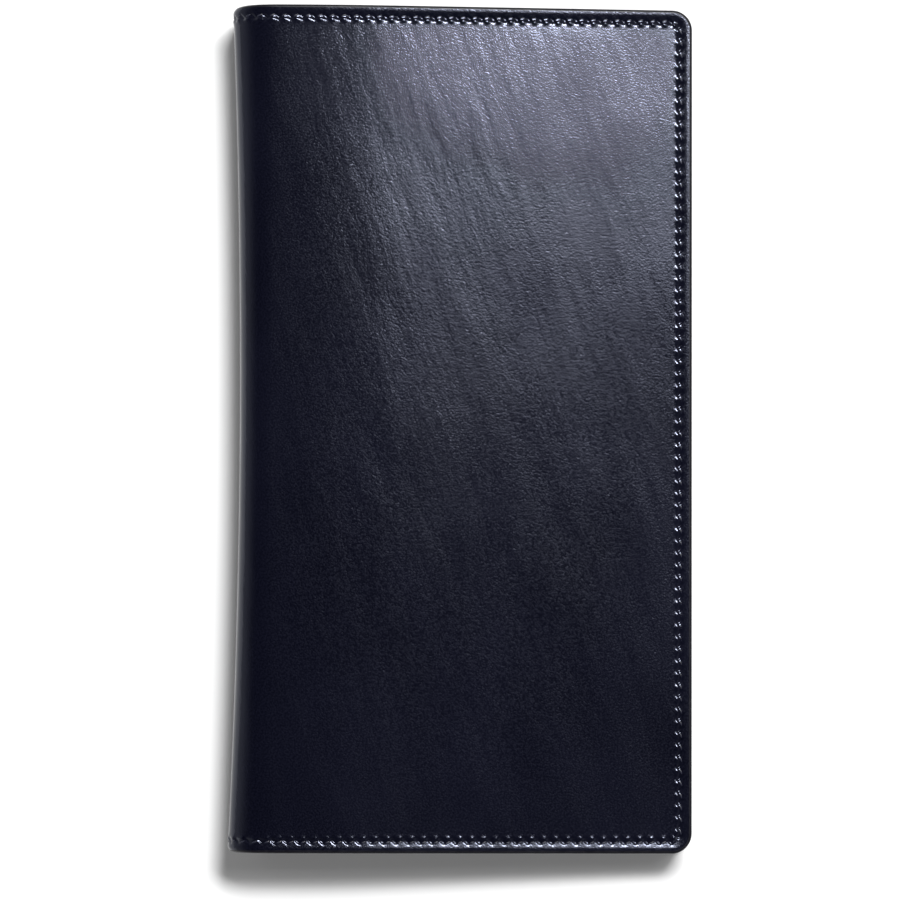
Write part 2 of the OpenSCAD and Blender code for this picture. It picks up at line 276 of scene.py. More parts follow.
class Edge:
    """The three free sides of a half as one path: along the top, round two corners and back."""

    def __init__(self, start, end, half=HALF_L):
        self.start, self.end, self.half, self.radius = start, end, half, CORNER_R
        self.top = end - self.radius - start
        self.side = 2 * (half - self.radius)
        self.seam_r = self.radius - SEAM_INSET
        self.bend = self.seam_r * math.pi / 2
        self.length = 2 * self.top + 2 * self.bend + self.side
        self.stitches = round(self.length / SEAM_PITCH)
        self.pitch = self.length / self.stitches

    def at(self, run, inset):
        """Place (along, y) at a distance run along the seam and inset from the edge."""
        run = np.asarray(run, float)
        past = run - self.top - self.bend
        turn = np.clip((run - self.top) / self.seam_r, 0, math.pi / 2)
        turn = turn + np.clip((past - self.side) / self.seam_r, 0, math.pi / 2)
        back = np.clip(past - self.side - self.bend, 0, self.top)
        along = self.start + np.clip(run, 0, self.top) - back
        y = self.half - self.radius - np.clip(past, 0, self.side)
        reach = self.radius - np.asarray(inset)
        return along + reach * np.sin(turn), y + reach * np.cos(turn)

    def holes(self, first):
        """Places of the seam's holes, from number first to the path's end."""
        return np.stack(self.at(np.arange(first, self.stitches + 1) * self.pitch, SEAM_INSET), -1)

    def runs(self, step, unit):
        """Sample places along the path, with each stretch split into a multiple of unit.

        The first unit of faces at either end of the path is JOIN_W wide altogether.
        """
        def split(length):
            return unit * max(1, round(length / step / unit))

        n_top, n_bend, n_side = split(self.top), split(self.radius * math.pi / 2), split(self.side)
        ends = np.cumsum([0, self.top, self.bend, self.side, self.bend, self.top])
        counts = [n_top, n_bend, n_side, n_bend, n_top]
        runs = [np.linspace(a, b, n, endpoint=False) for a, b, n in zip(ends, ends[1:], counts)]
        runs[0] = np.append(
            np.linspace(0, JOIN_W, unit, endpoint=False),
            np.linspace(JOIN_W, self.top, n_top - unit, endpoint=False),
        )
        runs[4] = self.length - np.append(runs[0][1:], self.top)[::-1]
        return np.append(np.concatenate(runs), self.length), counts


def sheet(name, place, edge, outer, inner, step, halvings, materials, rim=0):
    """A closed sheet with round corners at its free edge.

    outer and inner are (insets, depth function); depth functions take (along, y, inset, run). Each
    side is rings that follow the edge and, inside them, a grid; halvings says how many times a
    side's rings are thinned on their way in. The outer rim rings take the second material.
    """
    runs, counts = edge.runs(step, 2 ** max(halvings))
    points, grain, faces, indices = [], [], [], []
    rims, borders = [], []

    def add(along, y, inset, run, depth):
        first = sum(len(p) for p in points)
        d = depth(along, y, inset, run)
        points.append(place(along, y, d))
        grain.append(np.stack(np.broadcast_arrays(along, y, d), -1))
        return first + np.arange(len(along))

    def face(*corners, index=0):
        faces.append(corners)
        indices.append(index)

    for side, (insets, depth) in enumerate((outer, inner)):
        stride, rings = 1, []
        for k, inset in enumerate(insets):
            if k >= len(insets) - halvings[side]:
                stride *= 2
            run = runs[::stride]
            along, y = edge.at(run, inset)
            rings.append(add(along, y, np.full(len(run), inset), run, depth))
        rims.append(rings[0])
        for k, (a, b) in enumerate(zip(rings, rings[1:])):
            index = 1 if k < rim and side == 0 else 0
            if len(a) == len(b):
                for i in range(len(a) - 1):
                    face(a[i], a[i + 1], b[i + 1], b[i], index=index)
            else:
                for i in range(len(b) - 1):
                    face(a[2 * i], a[2 * i + 1], b[i], index=index)
                    face(a[2 * i + 1], b[i + 1], b[i], index=index)
                    face(a[2 * i + 1], a[2 * i + 2], b[i + 1], index=index)

        n_top, n_bend, n_side = [count // stride for count in counts[:3]]
        columns = np.append(edge.start, np.linspace(edge.start + JOIN_W, edge.end - edge.radius, n_top))
        rows = np.linspace(edge.half - edge.radius, edge.radius - edge.half, n_side + 1)
        along, y = [g.ravel() for g in np.meshgrid(columns, rows, indexing="ij")]
        inside = np.minimum(edge.half - np.abs(y), edge.end - along)
        grid = add(along, y, inside, np.zeros(len(y)), depth).reshape(n_top + 1, n_side + 1)
        for i in range(n_top):
            for j in range(n_side):
                face(grid[i, j], grid[i + 1, j], grid[i + 1, j + 1], grid[i, j + 1])

        border = [*grid[:, 0]] + [grid[-1, 0]] * n_bend + [*grid[-1, 1:]]
        border += [grid[-1, -1]] * n_bend + [*grid[-2::-1, -1]]
        last = rings[-1]
        for i in range(len(last) - 1):
            if border[i] == border[i + 1]:
                face(last[i], last[i + 1], border[i])
            else:
                face(last[i], last[i + 1], border[i + 1], border[i])
        borders.append([r[0] for r in rings] + [*grid[0]] + [r[-1] for r in rings[::-1]])

    for i in range(len(rims[0]) - 1):
        face(rims[0][i], rims[0][i + 1], rims[1][i + 1], rims[1][i], index=1 if rim else 0)
    face(*borders[0], *borders[1][::-1])
    obj = make_mesh(name, np.concatenate(points), faces, materials, indices, np.concatenate(grain))
    obj.data.polygons[len(faces) - 1].use_smooth = False  # the straight end is flat
    return obj


def slab(name, place, xs, ys, near, far, materials, round_edge, rim=False, width=None):
    """A plate over a grid of places, with rounded edges. near and far give its two depths.

    width moves the places sideways, to shape the plate's outline. With rim, the edges take the
    second material.
    """
    def stations(values):
        """The values, with the steps of the rounding at their two ends."""
        low, high, clear = values[0], values[-1], 1.3 * round_edge
        steps = [round_edge * share for share in (0.08, 0.3, 0.65, 1.0)]
        inner = [v for v in values[1:-1] if low + clear < v < high - clear]
        return np.array([low] + [low + e for e in steps] + inner + [high - e for e in steps[::-1]] + [high])

    xs, ys = stations(list(xs)), stations(list(ys))
    grid_x, grid_y = np.meshgrid(xs, ys, indexing="ij")
    to_end_x = np.minimum(grid_x - xs[0], xs[-1] - grid_x)
    to_end_y = np.minimum(grid_y - ys[0], ys[-1] - grid_y)
    edge = np.minimum(to_end_x, to_end_y)
    drop = 1 - np.sqrt(np.clip(1 - (1 - np.clip(edge / round_edge, 0, 1)) ** 2, 0, 1))
    px = grid_x if width is None else width(grid_x, grid_y)
    a, b = near(px, grid_y), far(px, grid_y)
    half = (b - a) / 2
    cut = np.minimum(round_edge, np.abs(half)) * drop * np.sign(half)
    points, grain = [], []
    for depth in (a + cut, b - cut):
        points.append(place(px, grid_y, depth).reshape(-1, 3))
        grain.append(np.stack([px, grid_y, depth], -1).reshape(-1, 3))
    nx, ny = grid_x.shape
    n = nx * ny
    faces = grid_faces(nx, ny) + grid_faces(nx, ny, start=n)
    indices = [int(rim and min(i, nx - 2 - i, j, ny - 2 - j) < 2)
               for _ in (a, b) for i in range(nx - 1) for j in range(ny - 1)]
    loop = [i * ny for i in range(nx)] + [(nx - 1) * ny + j for j in range(1, ny)]
    loop += [i * ny + ny - 1 for i in range(nx - 2, -1, -1)] + list(range(ny - 2, 0, -1))
    for i, j in zip(loop, loop[1:] + loop[:1]):
        faces.append((i, j, n + j, n + i))
        indices.append(int(rim))
    return make_mesh(name, np.concatenate(points), faces, materials, indices, np.concatenate(grain))


def tubes(name, centres, ups, radius, materials, closed=False, sides=10, plies=0, twist=0.0, taper=None):
    """Round bars along rows of points: centres and ups are (bars, points, 3) arrays.

    plies strands turn about each other twist times along a bar, and taper gives its thickness at
    each point as a share of the radius.
    """
    centres, ups = np.asarray(centres, float), np.asarray(ups, float)
    bars, length, _ = centres.shape
    ahead = np.roll(centres, -1, 1) - np.roll(centres, 1, 1)
    if not closed:
        ahead[:, 0] = centres[:, 1] - centres[:, 0]
        ahead[:, -1] = centres[:, -1] - centres[:, -2]
    ahead /= np.linalg.norm(ahead, axis=-1, keepdims=True)
    sideways = np.cross(ahead, ups)
    sideways /= np.linalg.norm(sideways, axis=-1, keepdims=True)
    ups = np.cross(sideways, ahead)
    theta = np.arange(sides) * 2 * math.pi / sides
    t = np.linspace(0, 1, length)
    r = np.full((length, sides), 1.0)
    if plies:
        r = 1 + 0.09 * np.cos(plies * (theta[None, :] - twist * t[:, None] * 2 * math.pi))
    if taper is not None:
        r = r * np.asarray(taper)[:, None]
    r = r * radius
    ring = centres[:, :, None, :] + r[None, :, :, None] * (
        np.cos(theta)[None, None, :, None] * sideways[:, :, None, :]
        + np.sin(theta)[None, None, :, None] * ups[:, :, None, :]
    )
    faces = []
    for start in range(0, bars * length * sides, length * sides):
        if closed:
            faces += grid_faces(length, sides, start=start, closed=True)
            faces += band_faces(start + (length - 1) * sides, start, sides)
        else:
            faces += bar_faces(length, sides, start)
    along = np.broadcast_to((np.arange(length) / length)[None, :, None], ring.shape[:3])
    around = np.broadcast_to(theta[None, None, :], ring.shape[:3])
    number = np.broadcast_to(np.arange(bars)[:, None, None], ring.shape[:3])
    grain = np.stack([along * 2.5, around * radius, number * 3.7], -1)
    return make_mesh(name, ring, faces, materials, grain=grain)


def stitches(name, starts, ends, up, across, height, slant, reach=0.45):
    """Slanted stitches between pairs of holes: each dips into its holes and arches over the leather.

    starts and ends are (stitches, 2) places of the holes, up gives a place and height its 3-D point,
    across is the side that a stitch leans to, 1 or -1, slant is how far it leans at each end, and
    reach is its half length in pitches.
    """
    t = np.linspace(0, 1, 9)
    starts, ends = np.asarray(starts, float), np.asarray(ends, float)
    ahead = ends - starts
    ahead = ahead / np.linalg.norm(ahead, axis=-1, keepdims=True)
    beside = np.stack([ahead[:, 1], -ahead[:, 0]], -1) * across
    from_middle = (2 * t - 1)[None, :, None]
    flat = starts[:, None] + (ends - starts)[:, None] * (0.5 + reach * from_middle)
    flat = flat + beside[:, None] * slant * from_middle
    arch = height - STITCH_DIP + STITCH_DIP * np.sin(math.pi * t) ** 0.55
    centres = up(flat[..., 0], flat[..., 1], arch)
    above = up(flat[..., 0], flat[..., 1], arch + 0.5)
    taper = 0.72 + 0.28 * np.sin(math.pi * t) ** 0.6
    return tubes(name, centres, above - centres, THREAD_R, [THREAD], plies=3, twist=0.8, taper=taper)


# ---------------------------------------------------------------- materials

class Kit:
    """A new material, and short calls for the nodes that it is made of."""

    def __init__(self, name):
        self.material = bpy.data.materials.new(name)
        self.material.use_nodes = True
        self.tree = self.material.node_tree
        self.shader = self.tree.nodes["Principled BSDF"]
        held = self.tree.nodes.new("ShaderNodeAttribute")
        held.attribute_name = "grain"
        self.grain = held.outputs["Vector"]

    def link(self, value, socket):
        """Joins another node's output to the socket, or sets the socket to a plain value."""
        if isinstance(value, bpy.types.NodeSocket):
            self.tree.links.new(value, socket)
        else:
            socket.default_value = value

    def set(self, name, value):
        """Sets one of the shader's own inputs."""
        self.link(value, self.shader.inputs[name])

    def sized(self, size, turn=0.0, shift=0.0):
        """The grain coordinate in units of size, whose axes are turned about the surface's normal."""
        node = self.tree.nodes.new("ShaderNodeMapping")
        node.vector_type = "TEXTURE"
        self.link(self.grain, node.inputs["Vector"])
        node.inputs["Scale"].default_value = size
        node.inputs["Rotation"].default_value = (0, 0, turn)
        node.inputs["Location"].default_value = (shift, shift, shift)
        return node.outputs["Vector"]

    def noise(self, vector, detail=2.0, roughness=0.5):
        node = self.tree.nodes.new("ShaderNodeTexNoise")
        self.link(vector, node.inputs["Vector"])
        node.inputs["Scale"].default_value = 1.0
        node.inputs["Detail"].default_value = detail
        node.inputs["Roughness"].default_value = roughness
        return node.outputs["Fac"]

    def cells(self, vector):
        node = self.tree.nodes.new("ShaderNodeTexVoronoi")
        self.link(vector, node.inputs["Vector"])
        node.inputs["Scale"].default_value = 1.0
        return node.outputs["Distance"]

    def wave(self, vector, scale, distortion=0.0):
        node = self.tree.nodes.new("ShaderNodeTexWave")
        self.link(vector, node.inputs["Vector"])
        node.inputs["Scale"].default_value = scale
        node.inputs["Distortion"].default_value = distortion
        return node.outputs["Fac"]

    def math(self, operation, a, b):
        node = self.tree.nodes.new("ShaderNodeMath")
        node.operation = operation
        self.link(a, node.inputs[0])
        self.link(b, node.inputs[1])
        return node.outputs[0]

    def spread(self, value, low, high, to_low=0.0, to_high=1.0):
        """value's range from low to high, stretched to the range from to_low to to_high."""
        node = self.tree.nodes.new("ShaderNodeMapRange")
        self.link(value, node.inputs["Value"])
        node.inputs["From Min"].default_value = low
        node.inputs["From Max"].default_value = high
        node.inputs["To Min"].default_value = to_low
        node.inputs["To Max"].default_value = to_high
        return node.outputs["Result"]

    def mix(self, share, a, b):
        node = self.tree.nodes.new("ShaderNodeMix")
        node.data_type = "RGBA"
        self.link(share, node.inputs[0])
        self.link(a, node.inputs[6])
        self.link(b, node.inputs[7])
        return node.outputs[2]

    def bump(self, height, distance, strength=1.0, under=None):
        node = self.tree.nodes.new("ShaderNodeBump")
        self.link(height, node.inputs["Height"])
        node.inputs["Distance"].default_value = distance * MM
        node.inputs["Strength"].default_value = strength
        if under is not None:
            self.link(under, node.inputs["Normal"])
        return node.outputs["Normal"]


def glazed_leather():
    """Deep navy leather, glazed and burnished: fine pores, and brushed streaks in its gloss."""
    kit = Kit("glazed_leather")
    streaks = kit.noise(kit.sized((7, 34, 20), turn=0.30), detail=3, roughness=0.6)
    brushed = kit.noise(kit.sized((1.3, 13, 9), turn=0.22), detail=3, roughness=0.6)
    clouds = kit.noise(kit.sized((22, 30, 20), shift=7), detail=3)
    pores = kit.noise(kit.sized((0.30, 0.42, 0.5), turn=0.70), detail=1)
    pits = kit.cells(kit.sized((0.55, 0.75, 0.8), turn=0.75))
    wide, fine = kit.spread(clouds, 0.35, 0.65, 0.0, 0.4), kit.spread(pores, 0.35, 0.65, 0.0, 0.6)
    tone = kit.math("ADD", wide, fine)
    kit.set("Base Color", kit.mix(tone, (0.0014, 0.0016, 0.0052, 1), (0.0052, 0.0056, 0.0130, 1)))
    gloss = kit.math("ADD", kit.math("MULTIPLY", streaks, 0.66), kit.math("MULTIPLY", brushed, 0.34))
    rough = kit.spread(gloss, 0.36, 0.64, 0.12, 0.15)
    rough = kit.math("ADD", rough, kit.spread(pores, 0.38, 0.62, -0.02, 0.04))
    kit.set("Roughness", rough)
    kit.set("Specular Tint", (0.74, 0.79, 1.0, 1))
    normal = kit.bump(pores, 0.023)
    normal = kit.bump(kit.spread(pits, 0.0, 0.5), 0.004, under=normal)
    normal = kit.bump(streaks, 0.11, under=normal)
    kit.set("Normal", normal)
    return kit.material


def edge_paint():
    """Black burnished edge, with the faint ripple of a hand-worked edge."""
    kit = Kit("edge_paint")
    ripple = kit.noise(kit.sized((1.2, 1.2, 0.4)), detail=3)
    kit.set("Base Color", kit.mix(ripple, (0.0030, 0.0030, 0.0050, 1), (0.009, 0.009, 0.014, 1)))
    kit.set("Roughness", kit.spread(ripple, 0.3, 0.7, 0.28, 0.46))
    kit.set("Specular IOR Level", 0.2)
    kit.set("Normal", kit.bump(ripple, 0.05, 0.5))
    return kit.material


def inner_leather():
    """Thinner navy leather inside, satin, with a finer grain."""
    kit = Kit("inner_leather")
    clouds = kit.noise(kit.sized((16, 16, 16)), detail=3)
    pores = kit.noise(kit.sized((0.32, 0.42, 0.5), turn=0.5), detail=2, roughness=0.65)
    cells = kit.cells(kit.sized((0.75, 0.75, 0.75)))
    tone = kit.spread(clouds, 0.3, 0.7)
    kit.set("Base Color", kit.mix(tone, (0.0085, 0.0105, 0.0255, 1), (0.0135, 0.0165, 0.038, 1)))
    kit.set("Roughness", kit.spread(pores, 0.3, 0.7, 0.36, 0.54))
    normal = kit.bump(kit.spread(cells, 0.0, 0.55), 0.035, 0.6)
    kit.set("Normal", kit.bump(pores, 0.025, 0.6, normal))
    return kit.material


FLAT_RIBS = (1, 1, 1e6)  # the size of a weave's grain: ribs don't change along the surface's normal


def lining_fabric():
    """Fine navy twill."""
    kit = Kit("lining_fabric")
    twill = kit.wave(kit.sized(FLAT_RIBS, turn=-0.9), scale=0.85, distortion=0.6)
    yarn = kit.wave(kit.sized(FLAT_RIBS, turn=0.65), scale=1.9, distortion=0.4)
    patches = kit.noise(kit.sized((12, 12, 12)), detail=2)
    share = kit.math("MULTIPLY", twill, kit.spread(patches, 0.2, 0.8, 0.7, 1.0))
    kit.set("Base Color", kit.mix(share, (0.010, 0.012, 0.026, 1), (0.034, 0.040, 0.075, 1)))
    kit.set("Roughness", 0.75)
    kit.set("Sheen Weight", 0.25)
    normal = kit.bump(twill, 0.06, 0.7)
    kit.set("Normal", kit.bump(yarn, 0.03, 0.5, normal))
    return kit.material


def zip_weave():
    """Herringbone zip tape."""
    kit = Kit("zip_weave")
    rows = kit.wave(kit.sized(FLAT_RIBS), scale=0.55)
    weft = kit.wave(kit.sized(FLAT_RIBS, turn=-0.8), scale=0.9)
    share = kit.math("MULTIPLY", rows, weft)
    kit.set("Base Color", kit.mix(share, (0.006, 0.007, 0.014, 1), (0.024, 0.027, 0.048, 1)))
    kit.set("Roughness", 0.7)
    kit.set("Normal", kit.bump(share, 0.08, 0.8))
    return kit.material


def waxed_thread():
    """Waxed thread: navy, with a soft sheen along its twist."""
    kit = Kit("waxed_thread")
    fibres = kit.noise(kit.sized((0.8, 0.11, 1)), detail=3)
    kit.set("Base Color", kit.mix(fibres, (0.006, 0.007, 0.016, 1), (0.018, 0.020, 0.040, 1)))
    kit.set("Roughness", kit.spread(fibres, 0.3, 0.7, 0.34, 0.52))
    kit.set("Normal", kit.bump(fibres, 0.03, 0.6))
    return kit.material


def zip_metal():
    """Polished brass with fine wear."""
    kit = Kit("zip_metal")
    wear = kit.noise(kit.sized((0.7, 0.7, 0.7)), detail=4, roughness=0.7)
    lines = kit.noise(kit.sized((0.11, 1.6, 0.25), turn=0.3), detail=2)
    tone = kit.spread(wear, 0.35, 0.7)
    kit.set("Base Color", kit.mix(tone, (0.70, 0.52, 0.26, 1), (0.52, 0.37, 0.17, 1)))
    kit.set("Metallic", 1.0)
    kit.set("Roughness", kit.spread(wear, 0.3, 0.7, 0.20, 0.38))
    kit.set("Normal", kit.bump(lines, 0.012, 0.4))
    return kit.material


GLAZED, PAINT, INNER = glazed_leather(), edge_paint(), inner_leather()
TWILL, WEAVE, THREAD, BRASS = lining_fabric(), zip_weave(), waxed_thread(), zip_metal()


def done(obj, nodes, body=None):
    """Hides the frame's parts that the piece stands for and, when a body is given, makes it ride on that
    body.
    """
    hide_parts(*nodes)
    if body:
        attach(obj, body)
    return obj


# ---------------------------------------------------------------- covers

# Slope of the cover at distances in from its edge: a level band, a flank down to the stitches, and a
# short rise to the level of the rest
SLOPE_AT = (0.0, 0.85, 1.3, 2.35, 2.70, 2.82, 3.10, 5.2)
SLOPE = (0.0, 0.0, -0.12, -0.12, 0.16, 0.36, 0.0, 0.0)
ROLL_W, ROLL_H = 0.55, 0.45  # width and height of the edge's rounding
FINE = np.linspace(0, 6, 601)
FINE_SLOPE = np.interp(FINE, SLOPE_AT, SLOPE)
FINE_H = np.concatenate([[0], np.cumsum((FINE_SLOPE[1:] + FINE_SLOPE[:-1]) / 2 * np.diff(FINE))])
FINE_H -= FINE_H[-1]
SLIT_H, SLIT_L = 0.20, 0.85  # depth and half length of an awl slit
SLIT_SIDES = (0.46, 0.20)  # widths of its two sides, of which the second is steeper
LOBE_H, LOBE_L, LOBE_W = 0.115, 0.58, 0.48  # the leather that bulges between two slits


def edge_height(inset):
    """Height of the cover's surface by how far in from its edge it is."""
    u = np.clip(1 - inset / ROLL_W, 0, 1)
    return np.interp(inset, FINE, FINE_H) - ROLL_H * (1 - np.sqrt(1 - u ** 2))


def sewn_height(inset, run, pitch):
    """The seam's relief: slanted awl slits, and the leather that bulges between them."""
    phase = (run / pitch + 0.5) % 1 - 0.5
    along, across = phase * pitch, inset - SEAM_INSET - 0.25
    down = (along + across) / math.sqrt(2)
    over = (along - across) / math.sqrt(2) - 0.12
    side = np.where(over < 0, *SLIT_SIDES)
    slit = -SLIT_H * np.exp(-(down / SLIT_L) ** 4 - (over / side) ** 2)
    from_slit = (np.abs(phase) - 0.5) * pitch
    lobe = LOBE_H * np.exp(-(from_slit / LOBE_L) ** 2 - ((across - 0.50) / LOBE_W) ** 2)
    pinch = 0.5 + 0.5 * np.cos(2 * math.pi * phase)
    return edge_height(inset - 0.30 * pinch * smooth((inset - 2.2) / 0.6)) + slit + lobe


def crown(x, y):
    """Rise of the front cover over its flat, from the padding of its contents."""
    across = np.clip(x / (FRONT_X - FOLD_X), 0, 1)
    return CROWN_H * 4 * across * (1 - across) * (1 - (y / HALF_L) ** 2)


def cover(half):
    """One half's outer cover and its edge stitches, both from the middle of the spine."""
    edge = Edge(0, half.s1)

    def outer(s, y, inset, run):
        height = np.where(inset < 4.0, sewn_height(inset, run, edge.pitch), edge_height(inset))
        flat = np.stack([s, y, np.full(len(s), 5.0 * half.way)], -1)
        fade = smooth(inset / 6) * smooth(s / 10)
        if half.front:
            ripple = 0.14 * waves(flat, (34, 52, 30), 2.0) + 0.05 * waves(flat, (13, 17, 9), 8.0)
            return -(height + crown(s - half.flat_s, y) + fade * ripple)
        height = height + fade * (0.05 * waves(flat, (30, 40, 30), 5.0) - 0.06)
        lying = smooth((s - half.flat_s + 2) / 4)
        return -np.minimum(height, 1 - lying)

    def inner(s, y, inset, run):
        return np.full(len(s), COVER_T)

    insets = (0.0, 0.03, 0.1, 0.22, 0.38, 0.52, 0.6, 0.8, 1.05, 1.2, 1.35, 1.5, 1.66, 1.82, 1.97, 2.1,
              2.23, 2.36, 2.48, 2.6, 2.72, 2.85, 3.0, 3.18, 3.4, 3.7, 4.05)
    obj = sheet(
        f"{half.word}_cover_leather", half.bent, edge, (insets, outer), ((0.05, 0.4, 1.0, 2.0), inner),
        SEAM_PITCH / 10, (2, 3), [GLAZED, PAINT], rim=6,
    )
    half.blend(obj)
    done(obj, [f"{half.word}_cover", "spine_cover"])

    holes = edge.holes(0)
    sewn = stitches(
        f"{half.word}_edge_stitches", holes[:-1], holes[1:], lambda s, y, h: half.bent(s, y, -h), 1,
        -0.30 if half.front else -0.36, slant=-0.42, reach=0.34,
    )
    half.blend(sewn)
    done(sewn, [f"{half.word}_seam_thread", "spine_seam_thread"])


def lining(half):
    """One half's twill lining, from the middle of the spine."""
    edge = Edge(0, half.s1 - 0.05, HALF_L - 0.05)
    obj = sheet(
        f"{half.word}_lining_twill", half.bent, edge,
        ((0.0, 1.5), lambda s, y, inset, run: np.full(len(s), COVER_T + 0.01)),
        ((0.0, 1.5), lambda s, y, inset, run: np.full(len(s), COVER_T + LINING_T)),
        1.2, (0, 0), [TWILL, PAINT], rim=1,
    )
    half.blend(obj)
    done(obj, [f"{half.word}_lining", "spine_lining"])


def note_panel(half):
    """Panel of the full-length note pocket, sewn down at its three free sides."""
    edge = Edge(PANEL_X, half.x1)
    pinch = PANEL_Z[0] - COVER_T - LINING_T - 0.02

    def sewn_down(inset):
        return pinch * smooth(1 - (inset - 2.5) / 3)

    def mouth(x):
        return smooth(1 - (x - PANEL_X) / 0.5) * 0.2

    def outer(x, y, inset, run):
        return PANEL_Z[0] - sewn_down(inset) + mouth(x)

    def inner(x, y, inset, run):
        seam = -0.16 * np.exp(-((inset - SEAM_INSET) / 0.7) ** 2)
        u = np.clip(1 - inset / 0.6, 0, 1)
        rounded = -0.22 * (1 - np.sqrt(np.clip(1 - u ** 2, 0, 1)))
        flat = np.stack([x, y, np.full(len(x), 3.0 * half.way)], -1)
        ripple = -0.04 * np.abs(waves(flat, 25, 4.0))
        return PANEL_Z[1] - 0.4 * sewn_down(inset) + seam + rounded - mouth(x) + ripple

    obj = sheet(
        f"{half.word}_note_pocket", half.level, edge, ((0.0, 0.3, 1.5, 2.8), outer),
        ((0.0, 0.08, 0.25, 0.6, 1.2, 1.7, 2.0, 2.3, 2.6, 3.0, 3.5, 4.0), inner),
        0.9, (0, 0), [INNER, PAINT], rim=1,
    )
    done(obj, [f"{half.word}_note_panel"], half.body)


# ---------------------------------------------------------------- card slots

CARDS = sorted(name for name in BOX if name.startswith("card_slot_"))
FIRST_MOUTH = BOX[CARDS[0]][1].y


def card_leaf(node, number):
    """One leaf of the card slots, with a creased line along its mouth. Returns its mouth and tail."""
    last = node == CARDS[-1]
    mouth = FIRST_MOUTH - number * SLOT_PITCH
    tail = mouth - SLOT_DEPTH

    def near(x, y):
        across = (x - LEAF_X) / (FRONT_X - LEAF_X)
        gape = 0.10 * np.sin(math.pi * np.clip(across, 0, 1)) * smooth((y - mouth + 14) / 14)
        return LEAF_DEPTH + np.maximum(y - tail, 0) * LEAF_RISE + gape

    def far(x, y):
        crease = 0.07 * np.exp(-((mouth - y - 1.3) / 0.16) ** 2)
        return near(x, y) + LEAF_T - crease

    def width(x, y):
        corner = np.clip((-HALF_L + CORNER_R - y) / CORNER_R, 0, 1) if last else np.zeros_like(y)
        end = FRONT_X - CORNER_R * (1 - np.sqrt(1 - corner ** 2))
        return LEAF_X + (x - LEAF_X) * (end - LEAF_X) / (FRONT_X - LEAF_X)

    ys = list(np.linspace(-HALF_L if last else tail, mouth - 2.2, 24))
    ys += [mouth - d for d in (1.7, 1.5, 1.4, 1.3, 1.2, 1.1, 0.9, 0.5, 0)]
    obj = slab(
        f"card_leaf_{number + 1}", FRONT.level, np.linspace(LEAF_X, FRONT_X, 26), ys, near, far,
        [INNER, PAINT], round_edge=0.2, rim=True, width=width,
    )
    done(obj, [node], "front_half")
    return mouth, tail


def card_slots():
    """The leaves, and the row of stitches that holds each one along its side."""
    starts, ends, depths = [], [], []
    seam_x = LEAF_X + 1.4
    for number, node in enumerate(CARDS):
        mouth, tail = card_leaf(node, number)
        low = tail if node == CARDS[-1] else mouth - SLOT_PITCH
        count = max(1, round((mouth - low - 1.2) / SEAM_PITCH))
        cuts = np.linspace(mouth - 0.6, low + 0.6, count + 1)
        for a, b in zip(cuts, cuts[1:]):
            starts.append((seam_x, a))
            ends.append((seam_x, b))
            depths.append(LEAF_DEPTH + (0.5 * (a + b) - tail) * LEAF_RISE + LEAF_T)
    depth = np.array(depths)[:, None]
    sewn = stitches("card_leaf_stitches", starts, ends,
                    lambda x, y, h: FRONT.level(x, y, depth + h), -1, 0.02, slant=0.16)
    done(sewn, ["card_seam_thread"], "front_half")


# ---------------------------------------------------------------- coin pocket and zip

def on_coin(x, y, z):
    """Places in the coin pocket front panel's own frame: x from the free edge, z off its underside."""
    x, y, z = np.broadcast_arrays(*map(np.asarray, (x, y, z)))
    c, s = math.cos(COIN_TILT), math.sin(COIN_TILT)
    return np.stack([FREE_X + x * c + z * s, y, COIN_Z - x * s + z * c], -1)


ZIP_MID = (BOX["zip_tape_left"][0] + BOX["zip_tape_right"][1]) / 2
ZIP_X = (ZIP_MID.x - FREE_X) / math.cos(COIN_TILT)
COIN_W = (FREE_X - PANEL_X) / math.cos(COIN_TILT)
COIN_CORNER_R = 1.2
WINDOW_HALF = 4.5
WINDOW_Y = (-70.0, 78.0)
WINDOW_R = 1.5
WINDOW_SEAM = 1.6  # how far the seam runs from the window


def loop(middle, half_x, half_y, across=16, along=296, corner=8):
    """A rounded rectangle: its corners' centres, and the outward direction at each place."""
    centres, outs = [], []
    corners = [(1, 1), (1, -1), (-1, -1), (-1, 1)]
    for k, (x, y) in enumerate(corners):
        for i in range(corner):
            angle = math.pi / 2 * (k + i / corner)
            centres.append((x * half_x, y * half_y))
            outs.append((math.sin(angle), math.cos(angle)))
        next_x, next_y = corners[(k + 1) % 4]
        count = along if k % 2 == 0 else across
        angle = math.pi / 2 * (k + 1)
        for i in range(count):
            f = i / count
            centres.append(((x + (next_x - x) * f) * half_x, (y + (next_y - y) * f) * half_y))
            outs.append((math.sin(angle), math.cos(angle)))
    return np.array(centres) + middle, np.array(outs)


